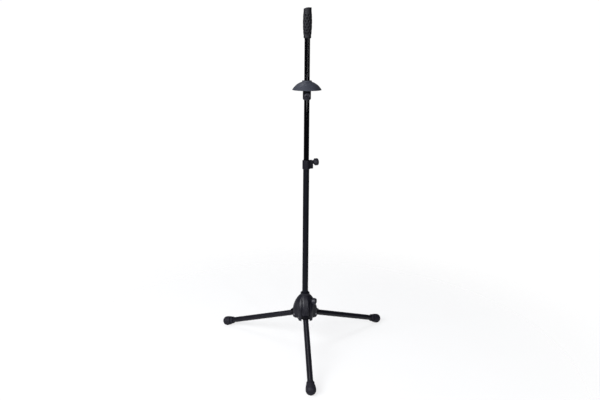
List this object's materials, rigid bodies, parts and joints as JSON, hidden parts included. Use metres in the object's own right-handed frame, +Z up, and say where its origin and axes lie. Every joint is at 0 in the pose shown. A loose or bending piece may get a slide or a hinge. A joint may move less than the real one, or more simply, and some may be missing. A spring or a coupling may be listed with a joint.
{
  "type": "brass instrument stand",
  "caption": "Black folding floor stand: tripod legs on a moulded hub, telescoping mast, sliding domed bell rest with a clamp screw, and a rubber grip on top.",
  "frame": {"origin": "on the floor, at the middle of the box around the stand with its legs spread", "axes": "+Z up along the mast; the front leg points along -Y and the mast stands behind the origin on +Y"},
  "size_m": [0.4694, 0.41, 0.898],
  "materials": {
    "hub_plastic": "moulded, satin",
    "fitting_plastic": "moulded, satin",
    "pin_steel": "blackened",
    "leg_paint": "black powder coat, satin",
    "foot_rubber": "matte",
    "mast_satin_paint": "black powder coat, satin",
    "mast_gloss_paint": "black gloss",
    "collar_plastic": "moulded, satin",
    "dome_plastic": "moulded, matte",
    "grip_rubber": "textured, matte",
    "insert_brass": "turned",
    "stud_steel": "zinc plated",
    "knob_plastic": "moulded, semi-gloss"
  },
  "bodies": {
    "hub": {"hub_body": "hub_plastic", "hub_thread_insert": "insert_brass", "leg_pin_front": "pin_steel", "leg_pin_rear_right": "pin_steel", "leg_pin_rear_left": "pin_steel"},
    "leg_front": {"leg_tube_front": "leg_paint", "leg_fitting_front": "fitting_plastic", "rubber_foot_front": "foot_rubber"},
    "leg_rear_right": {"leg_tube_rear_right": "leg_paint", "leg_fitting_rear_right": "fitting_plastic", "rubber_foot_rear_right": "foot_rubber"},
    "leg_rear_left": {"leg_tube_rear_left": "leg_paint", "leg_fitting_rear_left": "fitting_plastic", "rubber_foot_rear_left": "foot_rubber"},
    "mast_plug": {"mast_end_plug": "fitting_plastic"},
    "mast_lower": {"lower_tube": "mast_satin_paint", "height_collar": "collar_plastic", "collar_thread_insert": "insert_brass"},
    "mast_bush": {"upper_tube_bush": "fitting_plastic"},
    "mast_upper": {"upper_tube": "mast_gloss_paint", "top_grip": "grip_rubber"},
    "bell_rest": {"rest_dome": "dome_plastic"},
    "rest_clamp": {"rest_sleeve": "collar_plastic", "sleeve_thread_insert": "insert_brass"},
    "hub_stud": {"hub_screw_stud": "stud_steel"},
    "hub_knob": {"hub_screw_knob": "knob_plastic"},
    "collar_stud": {"collar_screw_stud": "stud_steel"},
    "collar_knob": {"collar_screw_knob": "knob_plastic"},
    "sleeve_stud": {"sleeve_screw_stud": "stud_steel"},
    "sleeve_knob": {"sleeve_screw_knob": "knob_plastic"}
  },
  "joints": [
    {"name": "leg_front_fold", "type": "hinge", "parent": "hub", "child": "leg_front", "pos_m": [0, 0.04, 0.0917], "axis": [1, 0, 0], "range_deg": [0, 71]},
    {"name": "leg_rear_right_fold", "type": "hinge", "parent": "hub", "child": "leg_rear_right", "pos_m": [0.02079, 0.076, 0.0917], "axis": [-0.5, 0.866, 0], "range_deg": [0, 71]},
    {"name": "leg_rear_left_fold", "type": "hinge", "parent": "hub", "child": "leg_rear_left", "pos_m": [-0.02079, 0.076, 0.0917], "axis": [-0.5, -0.866, 0], "range_deg": [0, 71]},
    {"name": "mast_slide", "type": "slide", "parent": "hub", "child": "mast_plug", "axis": [0, 0, 1], "range_m": [-0.21, 0]},
    {"name": "mast_swivel", "type": "hinge", "parent": "mast_plug", "child": "mast_lower", "pos_m": [0, 0.064, 0.132], "axis": [0, 0, 1], "continuous": true},
    {"name": "height_slide", "type": "slide", "parent": "mast_lower", "child": "mast_bush", "axis": [0, 0, 1], "range_m": [-0.085, 0.2]},
    {"name": "height_swivel", "type": "hinge", "parent": "mast_bush", "child": "mast_upper", "pos_m": [0, 0.064, 0.515], "axis": [0, 0, 1], "continuous": true},
    {"name": "rest_slide", "type": "slide", "parent": "mast_upper", "child": "bell_rest", "axis": [0, 0, 1], "range_m": [-0.06, 0.085]},
    {"name": "rest_swivel", "type": "hinge", "parent": "bell_rest", "child": "rest_clamp", "pos_m": [0, 0.064, 0.686], "axis": [0, 0, 1], "continuous": true},
    {"name": "hub_screw_travel", "type": "slide", "parent": "hub", "child": "hub_stud", "axis": [0.866, -0.5, 0], "range_m": [0, 0.002]},
    {"name": "hub_screw_turn", "type": "hinge", "parent": "hub_stud", "child": "hub_knob", "pos_m": [0.02252, 0.051, 0.1328], "axis": [0.866, -0.5, 0], "range_deg": [0, 720]},
    {"name": "collar_screw_travel", "type": "slide", "parent": "mast_lower", "child": "collar_stud", "axis": [0.9588, 0.284, 0], "range_m": [0, 0.002]},
    {"name": "collar_screw_turn", "type": "hinge", "parent": "collar_stud", "child": "collar_knob", "pos_m": [0.02493, 0.07138, 0.515], "axis": [0.9588, 0.284, 0], "range_deg": [0, 720]},
    {"name": "sleeve_screw_travel", "type": "slide", "parent": "rest_clamp", "child": "sleeve_stud", "axis": [-0.0436, -0.999, 0], "range_m": [0, 0.002]},
    {"name": "sleeve_screw_turn", "type": "hinge", "parent": "sleeve_stud", "child": "sleeve_knob", "pos_m": [-0.00113, 0.03803, 0.686], "axis": [-0.0436, -0.999, 0], "range_deg": [0, 720]}
  ],
  "couplings": [
    {"joint": "hub_screw_travel", "follows": "hub_screw_turn", "m_per_rad": 0.000159},
    {"joint": "collar_screw_travel", "follows": "collar_screw_turn", "m_per_rad": 0.000159},
    {"joint": "sleeve_screw_travel", "follows": "sleeve_screw_turn", "m_per_rad": 0.000159}
  ]
}
